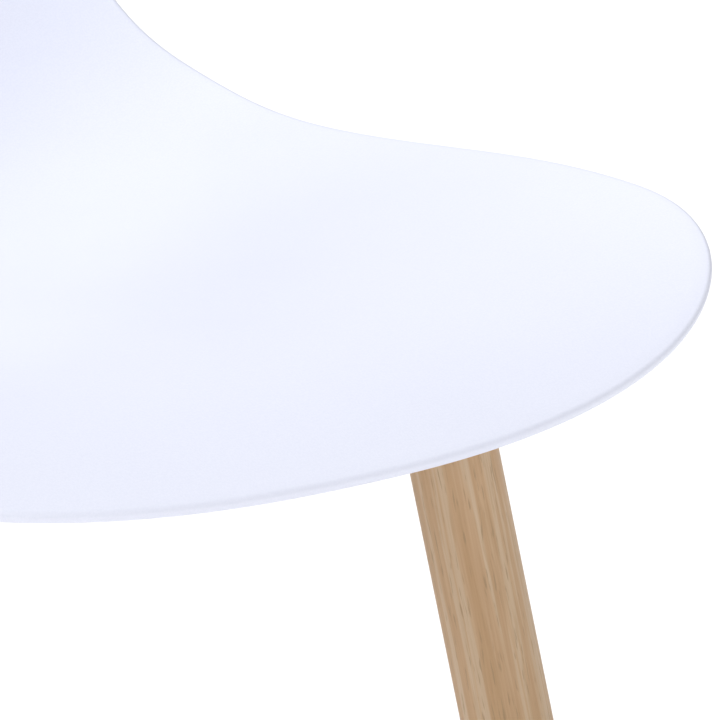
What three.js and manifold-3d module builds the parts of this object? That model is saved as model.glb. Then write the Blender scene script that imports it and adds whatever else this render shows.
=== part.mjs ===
// Dining chair: a one-piece moulded plastic seat and back on four splayed round wooden
// legs, which are bolted to a steel cross frame under the seat.
// Millimetres, +Z up. The chair faces -Y and stands on z = 0. While it is built, the
// middle of the cross frame is over the origin. The finished chair is then moved so
// that the middle of its whole footprint is.

import * as THREE from 'three';
import { mergeVertices } from 'three/addons/utils/BufferGeometryUtils.js';
import Module from 'manifold-3d';

const wasm = await Module();
wasm.setup();

// ---------------------------------------------------------------- driving dimensions

const GAP = 0.3; // left between two pieces that touch

// Seat shell. Each row is one station along the middle of the shell, from the front
// lip to the top of the back: how far back it is, its height, how far the side edges
// stand proud of the middle (the dish), and the half width. A smooth curve runs
// through these stations without quite touching them.
const SHELL_STATIONS = [
  [-250, 401, 0, 227.5],
  [-236, 409.5, 0, 227.5],
  [-212, 422.5, 6, 227.5],
  [-167, 430, 15, 227.5],
  [-97, 428, 21, 227.5],
  [-22, 420, 22, 227.5],
  [48, 410, 28, 227.5],
  [98, 409, 37, 225],
  [138, 424, 42, 217],
  [173, 464, 42, 203],
  [200, 530, 37, 196],
  [222, 610, 34, 195],
  [240, 690, 31, 199],
  [258, 770, 28, 202],
  [268, 820, 26, 202],
];
const SHELL_DISH_WIDTH = 230; // half width at which the dish has its full height
const SHELL_DISH_POWER = 2.5; // higher is flatter in the middle, steeper at the edge
const SHELL_THICKNESS = 5;
const SHELL_EDGE_CHAMFER = 1.2;
const FRONT_CORNER = { depth: 121.5, power: 2.3 }; // how round the front outline is
const TOP_CORNER = { depth: 110, power: 2.6 }; // how round the top of the back is
const SHELL_MIDDLE = 400; // the rings of the mesh close in on this length along it

// Bosses moulded under the seat, with a brass insert in each
const BOSS_RADIUS = 12;
const BOSS_SIDES = 18;
const BOSS_HOLE_RADIUS = 4;
const BOSS_HOLE_DEPTH = 9.6;
const INSERT = { radius: 3.7, bore: 2.4, length: 9 };

// Legs. The four corners are alike: each lies on a diagonal of the cross frame and
// leans out along it.
const LEG_HALF_SPACING_X = 130.5; // of the leg axes, at LEG_DATUM_Z
const LEG_HALF_SPACING_Y = 148;
const LEG_DATUM_Z = 365;
const LEG_LEAN = Math.atan(0.203);
const LEG_RADIUS = 16;
const LEG_FOOT_RADIUS = 11.5;
const LEG_TOP = 40; // above the datum, along the leg
const LEG_STRAIGHT = 110; // below the datum, before the taper starts
const LEG_TOP_CHAMFER = 2;
const LEG_SIDES = 18;

// Glides nailed under the legs
const GLIDE = { height: 5.7, radius: 12, topRadius: 11.4, edge: 1 };
const GLIDE_SIDES = 18;
const NAIL = { radius: 1.5, bottom: 2.5, top: 22 };

// Cross frame: one rectangular tube right across, and two half tubes welded to it
const TUBE = { width: 25, height: 15, wall: 1.8, bottom: 376 };
const BRACKET = { wall: 3, bottom: 9, top: 39, cheek: 9 }; // heights along the leg
const LEG_BOLT_HEIGHTS = { lower: 16, upper: 32 };
const LEG_BOLT = { radius: 3, headRadius: 5.5, headHeight: 3.2, nutSize: 5.8, nutHeight: 5 };

// Tabs on the tubes that carry the shell
const TAB = { alongTube: 95, beside: 24, halfLength: 14, inner: -12, outer: 36, thickness: 3 };
const TAB_CORNER = 8;
const SPACER = { radius: 10, thickness: 3 };
const WASHER = { radius: 6, thickness: 1 };
const SEAT_SCREW = { radius: 2.1, headRadius: 4.5, headHeight: 3.4, intoInsert: 7 };
const HEX_KEY_RADIUS = 2.3;

// ------------------------------------------------------------------------- materials

function material(color, roughness, metalness) {
  return new THREE.MeshStandardMaterial({ color, roughness, metalness });
}

const shellPlastic = material(0xf1f4fd, 0.35, 0);
const legWood = material(0xb99b7e, 0.55, 0);
const frameSteel = material(0x1d1e20, 0.5, 0.3);
const zincSteel = material(0xb9bcc0, 0.3, 1);
const brass = material(0xc8a450, 0.3, 1);
const rubber = material(0x242424, 0.85, 0);
const glideNylon = material(0x2b2a29, 0.6, 0);

// ------------------------------------------------------------------ solids and cuts

// A closed solid from a geometry whose faces point out.
function solid(geometry) {
  const bare = geometry.clone();
  bare.deleteAttribute('normal');
  bare.deleteAttribute('uv');
  const merged = mergeVertices(bare, 1e-4);
  return new wasm.Manifold(new wasm.Mesh({
    numProp: 3,
    vertProperties: new Float32Array(merged.attributes.position.array),
    triVerts: new Uint32Array(merged.index.array),
  }));
}

function geometryOf(shape) {
  const mesh = shape.getMesh();
  const geometry = new THREE.BufferGeometry();
  geometry.setAttribute('position', new THREE.BufferAttribute(mesh.vertProperties, 3));
  geometry.setIndex(new THREE.BufferAttribute(mesh.triVerts, 1));
  geometry.computeVertexNormals();
  return geometry;
}

// The first geometry with every other one cut out of it.
function cut(geometry, ...tools) {
  let shape = solid(geometry);
  for (const tool of tools) {
    shape = shape.subtract(solid(tool));
  }
  return geometryOf(shape);
}

function join(geometry, ...others) {
  let shape = solid(geometry);
  for (const other of others) {
    shape = shape.add(solid(other));
  }
  return geometryOf(shape);
}

// A disc or rod standing on z = bottom.
function rod(radius, bottom, top, sides = 12) {
  const geometry = new THREE.CylinderGeometry(radius, radius, top - bottom, sides);
  geometry.rotateX(Math.PI / 2);
  geometry.translate(0, 0, (top + bottom) / 2);
  return geometry;
}

// A turned solid from [radius, height] points, which start and end on the axis.
function turned(points, sides = 12) {
  const profile = points.map(([radius, height]) => new THREE.Vector2(radius, height));
  const geometry = new THREE.LatheGeometry(profile, sides);
  geometry.rotateX(Math.PI / 2);
  return geometry;
}

// A flat ring standing on z = bottom.
function ring(radius, bore, bottom, top, sides = 12) {
  return turned([[bore, bottom], [radius, bottom], [radius, top], [bore, top], [bore, bottom]], sides);
}

// -------------------------------------------------------------------- the shell

// A point on a clamped cubic B-spline through rows of numbers, with u from 0 to 1.
function splineAt(rows, u) {
  const spans = rows.length - 3;
  const knot = (i) => Math.min(Math.max(i - 3, 0), spans) / spans;
  const span = Math.min(Math.floor(u * spans), spans - 1) + 3;
  const d = rows.slice(span - 3, span + 1);
  for (let level = 1; level <= 3; level += 1) {
    for (let j = 3; j >= level; j -= 1) {
      const low = knot(span - 3 + j);
      const high = knot(span + 1 + j - level);
      const blend = (u - low) / (high - low);
      d[j] = d[j].map((value, k) => (1 - blend) * d[j - 1][k] + blend * value);
    }
  }
  return d[3];
}

// Length along the middle of the shell against the spline's u.
const LENGTH_STEPS = 800;
const lengthTable = [0];
for (let i = 1; i <= LENGTH_STEPS; i += 1) {
  const [y0, z0] = splineAt(SHELL_STATIONS, (i - 1) / LENGTH_STEPS);
  const [y1, z1] = splineAt(SHELL_STATIONS, i / LENGTH_STEPS);
  lengthTable.push(lengthTable[i - 1] + Math.hypot(y1 - y0, z1 - z0));
}
const shellLength = lengthTable[LENGTH_STEPS];

function uAtLength(length) {
  const clamped = Math.min(Math.max(length, 0), shellLength);
  let i = 1;
  while (i < LENGTH_STEPS && lengthTable[i] < clamped) {
    i += 1;
  }
  const part = (clamped - lengthTable[i - 1]) / (lengthTable[i] - lengthTable[i - 1]);
  return (i - 1 + part) / LENGTH_STEPS;
}

// The middle surface of the shell: x across, u along.
function shellPoint(x, u) {
  const step = 1e-4;
  const low = Math.min(Math.max(u - step, 0), 1 - 2 * step);
  const [y0, z0] = splineAt(SHELL_STATIONS, low);
  const [y1, z1] = splineAt(SHELL_STATIONS, low + 2 * step);
  const [y, z, dish] = splineAt(SHELL_STATIONS, Math.min(Math.max(u, 0), 1));
  const slope = new THREE.Vector2(y1 - y0, z1 - z0).normalize();
  const rise = dish * (Math.abs(x) / SHELL_DISH_WIDTH) ** SHELL_DISH_POWER;
  return new THREE.Vector3(x, y - slope.y * rise, z + slope.x * rise);
}

// The shell's normal, towards the sitter.
function shellNormal(x, u) {
  const stepX = 0.5;
  const stepU = 5e-4;
  const low = Math.min(Math.max(u - stepU, 0), 1 - 2 * stepU);
  const across = shellPoint(x + stepX, u).sub(shellPoint(x - stepX, u));
  const along = shellPoint(x, low + 2 * stepU).sub(shellPoint(x, low));
  return across.cross(along).normalize();
}

// Half of the shell's outline, from the middle of the front lip to the top of the
// back, as [x, length] points: a round front corner, the side, a round top corner.
function halfOutline() {
  const cornerSteps = 12;
  const sideSteps = 16;
  const points = [];
  const add = (part, length) => {
    points.push([part * splineAt(SHELL_STATIONS, uAtLength(length))[3], length]);
  };
  const corner = (angle, { power }) => [Math.cos(angle) ** (2 / power), Math.sin(angle) ** (2 / power)];
  for (let i = 0; i < cornerSteps; i += 1) {
    const [part, reach] = corner((1 - i / cornerSteps) * Math.PI / 2, FRONT_CORNER);
    add(i === 0 ? 0 : part, FRONT_CORNER.depth * (1 - reach));
  }
  const sideLength = shellLength - FRONT_CORNER.depth - TOP_CORNER.depth;
  for (let i = 0; i < sideSteps; i += 1) {
    add(1, FRONT_CORNER.depth + sideLength * i / sideSteps);
  }
  for (let i = 0; i <= cornerSteps; i += 1) {
    const [part, reach] = corner(i / cornerSteps * Math.PI / 2, TOP_CORNER);
    add(i === cornerSteps ? 0 : part, shellLength - TOP_CORNER.depth * (1 - reach));
  }
  return points;
}

// The whole outline, once round.
function wholeOutline() {
  const right = halfOutline();
  const left = right.slice(1, -1).reverse().map(([x, length]) => [-x, length]);
  return [...right, ...left];
}

// A closed solid through loops of points, closed by a point at each end.
function loft(start, loops, end) {
  const count = loops[0].length;
  const points = [start, ...loops.flat(), end];
  const last = points.length - 1;
  const at = (k, i) => 1 + k * count + (i % count);
  const index = [];
  for (let i = 0; i < count; i += 1) {
    index.push(0, at(0, i), at(0, i + 1));
    for (let k = 0; k + 1 < loops.length; k += 1) {
      index.push(at(k, i), at(k + 1, i), at(k + 1, i + 1));
      index.push(at(k, i), at(k + 1, i + 1), at(k, i + 1));
    }
    index.push(last, at(loops.length - 1, i + 1), at(loops.length - 1, i));
  }
  const geometry = new THREE.BufferGeometry();
  geometry.setFromPoints(points);
  geometry.setIndex(index);
  return geometry;
}

function shellPanel() {
  const outline = wholeOutline();
  const half = SHELL_THICKNESS / 2;
  const insideRings = [0.12, 0.24, 0.36, 0.48, 0.6, 0.72, 0.82, 0.9, 0.96];

  const offset = (x, length, side) => {
    const u = uAtLength(length);
    return shellPoint(x, u).addScaledVector(shellNormal(x, u), side * half);
  };
  const face = (side) => insideRings.map((part) => outline.map(([x, length]) => (
    offset(part * x, SHELL_MIDDLE + part * (length - SHELL_MIDDLE), side))));

  // The edge is flat with a chamfer on both sides. `out` points away from the shell.
  const edge = outline.map(([x, length]) => shellPoint(x, uAtLength(length)));
  const normals = outline.map(([x, length]) => shellNormal(x, uAtLength(length)));
  const outward = edge.map((point, i) => {
    const before = edge[(i + edge.length - 1) % edge.length];
    const after = edge[(i + 1) % edge.length];
    return after.clone().sub(before).cross(normals[i]).normalize();
  });
  const rim = (out, up) => edge.map((point, i) => (
    point.clone().addScaledVector(outward[i], out).addScaledVector(normals[i], up)));

  const loops = [
    ...face(1),
    rim(-SHELL_EDGE_CHAMFER, half),
    rim(0, half - SHELL_EDGE_CHAMFER),
    rim(0, SHELL_EDGE_CHAMFER - half),
    rim(-SHELL_EDGE_CHAMFER, -half),
    ...face(-1).reverse(),
  ];
  return loft(offset(0, SHELL_MIDDLE, 1), loops, offset(0, SHELL_MIDDLE, -1));
}

// Height of the shell's middle surface over a point of the seat.
function seatHeight(x, y) {
  let low = 0;
  let high = uAtLength(SHELL_MIDDLE);
  for (let i = 0; i < 30; i += 1) {
    const middle = (low + high) / 2;
    if (shellPoint(x, middle).y < y) {
      low = middle;
    } else {
      high = middle;
    }
  }
  return shellPoint(x, low).z;
}

// ------------------------------------------------------------- corners of the chair

// Each corner is built along local +X, out from the middle of the chair, and turned
// to its diagonal. `tabSide` is the side of the tube that its tab stands on.
const DIAGONAL = Math.atan2(LEG_HALF_SPACING_Y, LEG_HALF_SPACING_X);
const LEG_DATUM_REACH = Math.hypot(LEG_HALF_SPACING_X, LEG_HALF_SPACING_Y);
const CORNERS = [
  { name: 'front_left', angle: DIAGONAL - Math.PI, tabSide: -1, throughTube: true },
  { name: 'front_right', angle: -DIAGONAL, tabSide: 1, throughTube: false },
  { name: 'rear_left', angle: Math.PI - DIAGONAL, tabSide: 1, throughTube: false },
  { name: 'rear_right', angle: DIAGONAL, tabSide: -1, throughTube: true },
];

const tubeTop = TUBE.bottom + TUBE.height;
const tabBottom = tubeTop + GAP;
const tabTop = tabBottom + TAB.thickness;
const spacerBottom = tabTop + GAP;
const spacerTop = spacerBottom + SPACER.thickness;
const bossBottom = spacerTop + GAP;
const bracketInside = LEG_RADIUS + GAP;
const bracketOutside = bracketInside + BRACKET.wall;
const legFootZ = GLIDE.height + GAP;

// Moves a piece made along z, about the leg's datum, to where a leg stands.
function onLeg(geometry) {
  geometry.rotateY(-LEG_LEAN);
  geometry.translate(LEG_DATUM_REACH, 0, LEG_DATUM_Z);
  return geometry;
}

// Moves a piece made along z to one of the leg's cross holes, with its top on the
// +Y side of the leg or, where side is -1, on the -Y side.
function onLegBolt(geometry, height, side) {
  geometry.rotateX(-side * Math.PI / 2);
  geometry.translate(0, 0, height);
  return onLeg(geometry);
}

function legBoltHoles() {
  const radius = LEG_BOLT.radius + GAP;
  const reach = 2 * bracketOutside;
  return Object.values(LEG_BOLT_HEIGHTS).map((height) => onLegBolt(rod(radius, -reach, reach), height, 1));
}

// Where the middle of a leg is, out from the middle of the chair, at height z.
function legReach(z) {
  return LEG_DATUM_REACH + (LEG_DATUM_Z - z) * Math.tan(LEG_LEAN);
}

function legGeometry() {
  const foot = -(LEG_DATUM_Z - legFootZ) / Math.cos(LEG_LEAN);
  const bottom = foot - LEG_FOOT_RADIUS;
  const taperSteps = 6;
  const taperLength = -LEG_STRAIGHT - foot;
  const points = [[0, bottom], [LEG_FOOT_RADIUS, bottom]];
  for (let i = 0; i <= taperSteps; i += 1) {
    const part = i / taperSteps;
    const radius = LEG_RADIUS - (LEG_RADIUS - LEG_FOOT_RADIUS) * (1 - part) ** 1.3;
    points.push([radius, foot + part * taperLength]);
  }
  points.push([LEG_RADIUS, LEG_TOP - LEG_TOP_CHAMFER]);
  points.push([LEG_RADIUS - LEG_TOP_CHAMFER, LEG_TOP]);
  points.push([0, LEG_TOP]);
  const below = new THREE.BoxGeometry(200, 200, 100);
  below.translate(legReach(0), 0, legFootZ - 50);
  const nailHole = rod(NAIL.radius + GAP, legFootZ - 5, NAIL.top + GAP, 10);
  nailHole.translate(legReach(legFootZ), 0, 0);
  return cut(onLeg(turned(points, LEG_SIDES)), below, nailHole, ...legBoltHoles());
}

// A U of steel plate round the inner side of the leg.
function bracketGeometry() {
  const shape = new THREE.Shape();
  const turn = Math.PI / 2;
  shape.moveTo(BRACKET.cheek, -bracketOutside);
  shape.lineTo(0, -bracketOutside);
  shape.absarc(0, 0, bracketOutside, -turn, turn, true);
  shape.lineTo(BRACKET.cheek, bracketOutside);
  shape.lineTo(BRACKET.cheek, bracketInside);
  shape.lineTo(0, bracketInside);
  shape.absarc(0, 0, bracketInside, turn, -turn, false);
  shape.lineTo(BRACKET.cheek, -bracketInside);
  shape.closePath();
  const depth = BRACKET.top - BRACKET.bottom;
  const plate = new THREE.ExtrudeGeometry(shape, { depth, bevelEnabled: false, curveSegments: 9 });
  plate.translate(0, 0, BRACKET.bottom);
  return cut(onLeg(plate), ...legBoltHoles());
}

// A domed screw along z with its head's seat at z = seat, and its hex recess.
function buttonScrew(radius, headRadius, headHeight, seat, end) {
  const dome = headHeight * 0.45;
  const points = [
    [0, end],
    [radius, end],
    [radius, seat],
    [headRadius, seat],
    [headRadius, seat + headHeight - dome - 0.6],
    [headRadius * 0.86, seat + headHeight - dome * 0.45],
    [headRadius * 0.55, seat + headHeight],
    [0, seat + headHeight],
  ];
  const key = rod(HEX_KEY_RADIUS, seat + headHeight * 0.4, seat + headHeight + 1, 6);
  return cut(turned(points), key);
}

function legBoltGeometry(height, side) {
  const seat = bracketOutside + GAP;
  const end = -(bracketOutside + LEG_BOLT.nutHeight + 1.5);
  const screw = buttonScrew(LEG_BOLT.radius, LEG_BOLT.headRadius, LEG_BOLT.headHeight, seat, end);
  return onLegBolt(screw, height, side);
}

function legNutGeometry(height, side) {
  const top = -(bracketOutside + GAP);
  const bottom = top - LEG_BOLT.nutHeight;
  const hexagon = rod(LEG_BOLT.nutSize, bottom, top, 6);
  const thread = rod(LEG_BOLT.radius + GAP, bottom - 1, top + 1);
  return onLegBolt(cut(hexagon, thread), height, side);
}

function glideGeometry() {
  const { height, radius, topRadius, edge } = GLIDE;
  const bore = NAIL.radius + GAP;
  const boreBottom = NAIL.bottom - GAP;
  const points = [
    [0, 0],
    [radius - edge, 0],
    [radius, edge],
    [topRadius, height],
    [bore, height],
    [bore, boreBottom],
    [0, boreBottom],
  ];
  const geometry = turned(points, GLIDE_SIDES);
  geometry.translate(legReach(legFootZ), 0, 0);
  return geometry;
}

function nailGeometry() {
  const geometry = rod(NAIL.radius, NAIL.bottom, NAIL.top, 10);
  geometry.translate(legReach(legFootZ), 0, 0);
  return geometry;
}

// ---------------------------------------------------------------- the cross frame

// A rectangular bar along X from one reach to another.
function bar(width, height, from, to) {
  const geometry = new THREE.BoxGeometry(to - from, width, height);
  geometry.translate((from + to) / 2, 0, TUBE.bottom + TUBE.height / 2);
  return geometry;
}

// A tube along X, whose ends fit round the leg brackets that it reaches.
function tubeGeometry(from, to, ...tools) {
  const bore = bar(TUBE.width - 2 * TUBE.wall, TUBE.height - 2 * TUBE.wall, from - 10, to + 10);
  return cut(bar(TUBE.width, TUBE.height, from, to), bore, ...tools);
}

// What a bracket and its gap take out of a tube.
function bracketSpace() {
  return onLeg(rod(bracketOutside + GAP, BRACKET.bottom - 40, BRACKET.top + 20, 36));
}

// ------------------------------------------------------------ what carries the shell

// Each of these stands at a seat mount, beside the tube, and is moved there by atMount.
function tabGeometry(tabSide) {
  const { halfLength, inner, outer, beside, thickness } = TAB;
  const shape = new THREE.Shape();
  shape.moveTo(-halfLength, inner);
  shape.lineTo(halfLength, inner);
  shape.lineTo(halfLength, outer - TAB_CORNER);
  shape.absarc(halfLength - TAB_CORNER, outer - TAB_CORNER, TAB_CORNER, 0, Math.PI / 2, false);
  shape.absarc(TAB_CORNER - halfLength, outer - TAB_CORNER, TAB_CORNER, Math.PI / 2, Math.PI, false);
  shape.closePath();
  const plate = new THREE.ExtrudeGeometry(shape, { depth: thickness, bevelEnabled: false, curveSegments: 5 });
  plate.translate(0, -beside, tabBottom);
  if (tabSide < 0) {
    plate.rotateZ(Math.PI);
  }
  const hole = rod(SEAT_SCREW.radius + 2 * GAP, tabBottom - 1, tabTop + 1);
  return cut(plate, hole);
}

function washerGeometry() {
  const top = tabBottom - GAP;
  return ring(WASHER.radius, SEAT_SCREW.radius + GAP, top - WASHER.thickness, top);
}

function seatScrewGeometry() {
  const seat = tabBottom - GAP - WASHER.thickness - GAP;
  const end = bossBottom + SEAT_SCREW.intoInsert;
  const { radius, headRadius, headHeight } = SEAT_SCREW;
  const screw = buttonScrew(radius, headRadius, headHeight, -seat, -end);
  screw.rotateX(Math.PI);
  return screw;
}

function spacerGeometry() {
  return ring(SPACER.radius, SEAT_SCREW.radius + 2 * GAP, spacerBottom, spacerTop);
}

function insertGeometry() {
  return ring(INSERT.radius, INSERT.bore, bossBottom + GAP, bossBottom + GAP + INSERT.length);
}

// ------------------------------------------------------------------------- assembly

const chair = new THREE.Group();
chair.name = 'dining_chair';

function piece(parent, name, geometry, itsMaterial) {
  const mesh = new THREE.Mesh(geometry, itsMaterial);
  mesh.name = name;
  parent.add(mesh);
}

// The seat mounts, in the chair's own frame.
const mountPlaces = CORNERS.map(({ angle, tabSide }) => (
  new THREE.Vector3(TAB.alongTube, tabSide * TAB.beside, 0)
    .applyAxisAngle(new THREE.Vector3(0, 0, 1), angle)));

const bosses = mountPlaces.map(({ x, y }) => {
  const boss = rod(BOSS_RADIUS, bossBottom, seatHeight(x, y), BOSS_SIDES);
  boss.translate(x, y, 0);
  return boss;
});
const bossHoles = mountPlaces.map(({ x, y }) => {
  const hole = rod(BOSS_HOLE_RADIUS, bossBottom - 1, bossBottom + BOSS_HOLE_DEPTH);
  hole.translate(x, y, 0);
  return hole;
});
piece(chair, 'seat_shell', cut(join(shellPanel(), ...bosses), ...bossHoles), shellPlastic);

const halfTubeStart = TUBE.width / 2;
const throughTubeSpace = bar(TUBE.width + 2 * GAP, TUBE.height + 2, -100, 100);
throughTubeSpace.rotateZ(2 * DIAGONAL);

const throughTube = new THREE.Group();
throughTube.rotation.z = DIAGONAL;
const otherBracket = bracketSpace();
otherBracket.rotateZ(Math.PI);
piece(
  throughTube,
  'frame_tube_through',
  tubeGeometry(-LEG_DATUM_REACH, LEG_DATUM_REACH, bracketSpace(), otherBracket),
  frameSteel,
);
chair.add(throughTube);

for (const corner of CORNERS) {
  const group = new THREE.Group();
  group.rotation.z = corner.angle;
  chair.add(group);

  if (!corner.throughTube) {
    const halfTube = tubeGeometry(halfTubeStart, LEG_DATUM_REACH, bracketSpace(), throughTubeSpace);
    piece(group, `frame_tube_${corner.name}`, halfTube, frameSteel);
  }
  piece(group, `leg_${corner.name}`, legGeometry(), legWood);
  piece(group, `leg_bracket_${corner.name}`, bracketGeometry(), frameSteel);
  for (const [place, height] of Object.entries(LEG_BOLT_HEIGHTS)) {
    const headSide = -corner.tabSide;
    piece(group, `leg_bolt_${place}_${corner.name}`, legBoltGeometry(height, headSide), zincSteel);
    piece(group, `leg_nut_${place}_${corner.name}`, legNutGeometry(height, headSide), zincSteel);
  }
  piece(group, `glide_${corner.name}`, glideGeometry(), glideNylon);
  piece(group, `glide_nail_${corner.name}`, nailGeometry(), zincSteel);

  const mount = new THREE.Group();
  mount.position.set(TAB.alongTube, corner.tabSide * TAB.beside, 0);
  group.add(mount);
  piece(mount, `seat_tab_${corner.name}`, tabGeometry(corner.tabSide), frameSteel);
  piece(mount, `seat_washer_${corner.name}`, washerGeometry(), zincSteel);
  piece(mount, `seat_screw_${corner.name}`, seatScrewGeometry(), zincSteel);
  piece(mount, `seat_spacer_${corner.name}`, spacerGeometry(), rubber);
  piece(mount, `seat_insert_${corner.name}`, insertGeometry(), brass);
}

// The origin is under the middle of the whole chair.
const bounds = new THREE.Box3().setFromObject(chair, true);
chair.position.y = -(bounds.min.y + bounds.max.y) / 2;

export default chair;
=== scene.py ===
import math

import bmesh
import bpy
import numpy as np
from mathutils import Matrix, Vector


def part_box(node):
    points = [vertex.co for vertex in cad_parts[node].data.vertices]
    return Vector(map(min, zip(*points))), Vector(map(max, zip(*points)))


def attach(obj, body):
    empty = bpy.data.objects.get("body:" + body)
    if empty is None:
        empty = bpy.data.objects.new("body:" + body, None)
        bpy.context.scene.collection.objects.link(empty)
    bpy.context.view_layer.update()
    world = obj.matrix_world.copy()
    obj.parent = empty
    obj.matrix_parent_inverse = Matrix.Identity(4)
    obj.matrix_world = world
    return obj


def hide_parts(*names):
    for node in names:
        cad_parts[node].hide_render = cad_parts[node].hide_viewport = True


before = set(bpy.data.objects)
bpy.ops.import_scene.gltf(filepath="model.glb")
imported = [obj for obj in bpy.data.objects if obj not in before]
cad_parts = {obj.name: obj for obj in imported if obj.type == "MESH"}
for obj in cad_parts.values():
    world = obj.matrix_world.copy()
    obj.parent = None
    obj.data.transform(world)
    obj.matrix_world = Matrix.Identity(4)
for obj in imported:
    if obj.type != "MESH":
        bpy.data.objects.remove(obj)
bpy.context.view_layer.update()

# The chair's looks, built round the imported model. Lengths are in metres; a length
# written with MM is in millimetres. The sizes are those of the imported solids.
MM = 0.001
GAP = 0.3 * MM  # left between two pieces that touch
SLIVER = 0.02 * MM  # points closer than this are one

# ------------------------------------------------------------------ driving sizes

# Stations along the middle of the shell, from the front lip to the top of the back:
# distance back from the middle of the cross frame, height, dish, half width (mm).
SHELL_STATIONS = [
    (-250, 401, 0, 227.5),
    (-236, 409.5, 0, 227.5),
    (-212, 422.5, 6, 227.5),
    (-167, 430, 15, 227.5),
    (-97, 428, 21, 227.5),
    (-22, 420, 22, 227.5),
    (48, 410, 28, 227.5),
    (98, 409, 37, 225),
    (138, 424, 42, 217),
    (173, 464, 42, 203),
    (200, 530, 37, 196),
    (222, 610, 34, 195),
    (240, 690, 31, 199),
    (258, 770, 28, 202),
    (268, 820, 26, 202),
]
SHELL_DISH_WIDTH = 230  # the distance from the middle at which the dish is as stated
SHELL_DISH_POWER = 2.5
SHELL_HALF_THICKNESS = 2.5
SHELL_EDGE_ROUND = 2.0
FRONT_CORNER = (121.5, 2.3)  # depth and power of the rounding of the outline
TOP_CORNER = (110, 2.6)
SHELL_MIDDLE = 400  # along the shell from its front lip, where the mesh rings start

LEG_HALF_SPACING_X = 130.5 * MM
LEG_HALF_SPACING_Y = 148 * MM
LEG_DATUM_Z = 365 * MM
LEG_LEAN = math.atan(0.203)
LEG_RADIUS = 16 * MM
LEG_FOOT_RADIUS = 11.5 * MM
LEG_TOP = 40 * MM  # along the leg from its datum up to its top
LEG_STRAIGHT = 110 * MM  # and down to where the taper starts
LEG_TAPER_POWER = 1.3
LEG_TOP_ROUND = 2 * MM
LEG_FOOT_ROUND = 0.5 * MM

tube_low, tube_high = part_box("frame_tube_through")
glide_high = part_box("glide_front_left")[1].z
tab_low, tab_high = (corner.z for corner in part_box("seat_tab_front_left"))
spacer_low, spacer_high = (corner.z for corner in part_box("seat_spacer_front_left"))
washer_low, washer_high = (corner.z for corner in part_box("seat_washer_front_left"))
screw_low, screw_high = (corner.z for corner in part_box("seat_screw_front_left"))
boss_bottom = spacer_high + GAP
foot_z = glide_high + GAP
middle = Vector((0, (tube_low.y + tube_high.y) / 2, 0))  # of the cross frame

DIAGONAL = math.atan2(LEG_HALF_SPACING_Y, LEG_HALF_SPACING_X)
LEG_DATUM_REACH = math.hypot(LEG_HALF_SPACING_X, LEG_HALF_SPACING_Y)
# name, angle of the diagonal, the side of the tube that the tab stands on
CORNERS = [
    ("front_left", DIAGONAL - math.pi, -1),
    ("front_right", -DIAGONAL, 1),
    ("rear_left", math.pi - DIAGONAL, 1),
    ("rear_right", DIAGONAL, -1),
]

# ------------------------------------------------------------------- node helpers


class Surface:
    """A procedural material: a Principled shader and short calls that wire nodes to it."""

    def __init__(self, name, **sockets):
        self.material = bpy.data.materials.new(name)
        self.material.use_nodes = True
        self.tree = self.material.node_tree
        self.tree.nodes.clear()
        self.shader = self.add("ShaderNodeBsdfPrincipled")
        output = self.add("ShaderNodeOutputMaterial")
        self.tree.links.new(self.shader.outputs[0], output.inputs["Surface"])
        for socket, value in sockets.items():
            self.shader.inputs[socket.replace("_", " ")].default_value = value
        self.place = self.add("ShaderNodeTexCoord").outputs["Object"]

    def add(self, kind, settings=(), **inputs):
        """A new node. Inputs go by name, or as i0, i1 and so on by number."""
        node = self.tree.nodes.new(kind)
        for name, value in dict(settings).items():
            setattr(node, name, value)
        for name, value in inputs.items():
            numbered = name[0] == "i" and name[1:].isdigit()
            socket = node.inputs[int(name[1:]) if numbered else name]
            if isinstance(value, bpy.types.NodeSocket):
                self.tree.links.new(value, socket)
            else:
                socket.default_value = value
        return node

    def noise(
        self, scale, detail=2.0, roughness=0.5, stretch=(1, 1, 1), shift=(0, 0, 0), vector=None
    ):
        """A noise value from 0 to 1, with features about 1/scale metres across."""
        mapped = self.add(
            "ShaderNodeMapping", Vector=vector or self.place, Scale=stretch, Location=shift
        ).outputs[0]
        return self.add(
            "ShaderNodeTexNoise", Vector=mapped, Scale=scale, Detail=detail, Roughness=roughness,
        ).outputs[0]

    def ramp(self, value, *stops):
        """Value to colour or grey through (position, colour) stops."""
        node = self.add("ShaderNodeValToRGB", Fac=value)
        elements = node.color_ramp.elements
        while len(elements) > 1:
            elements.remove(elements[-1])
        for i, (position, colour) in enumerate(stops):
            if not isinstance(colour, tuple):
                colour = (colour, colour, colour)
            element = elements[0] if i == 0 else elements.new(position)
            element.position = position
            element.color = (*colour, 1)
        return node.outputs[0]

    def mix(self, factor, a, b):
        """Colour a, or b where the factor is 1."""
        node = self.add("ShaderNodeMix", {"data_type": "RGBA"}, i0=factor)
        for index, value in ((6, a), (7, b)):
            if isinstance(value, bpy.types.NodeSocket):
                self.tree.links.new(value, node.inputs[index])
            else:
                node.inputs[index].default_value = (*value, 1)
        return node.outputs[2]

    def maths(self, operation, a, b):
        return self.add("ShaderNodeMath", {"operation": operation}, i0=a, i1=b).outputs[0]

    def scale(self, value, low, high):
        """A 0 to 1 value stretched to low..high."""
        limits = {"To Min": low, "To Max": high}
        return self.add("ShaderNodeMapRange", Value=value, **limits).outputs[0]

    def bump(self, height, distance, strength, under=None):
        """A normal that rises by up to that distance in metres, over another bump if given."""
        inputs = {"Height": height, "Distance": distance, "Strength": strength}
        if under is not None:
            inputs["Normal"] = under
        return self.add("ShaderNodeBump", **inputs).outputs[0]

    def wire(self, **sockets):
        """Links the values to the shader's sockets, and gives the material."""
        for socket, value in sockets.items():
            self.tree.links.new(value, self.shader.inputs[socket.replace("_", " ")])
        return self.material


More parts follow.
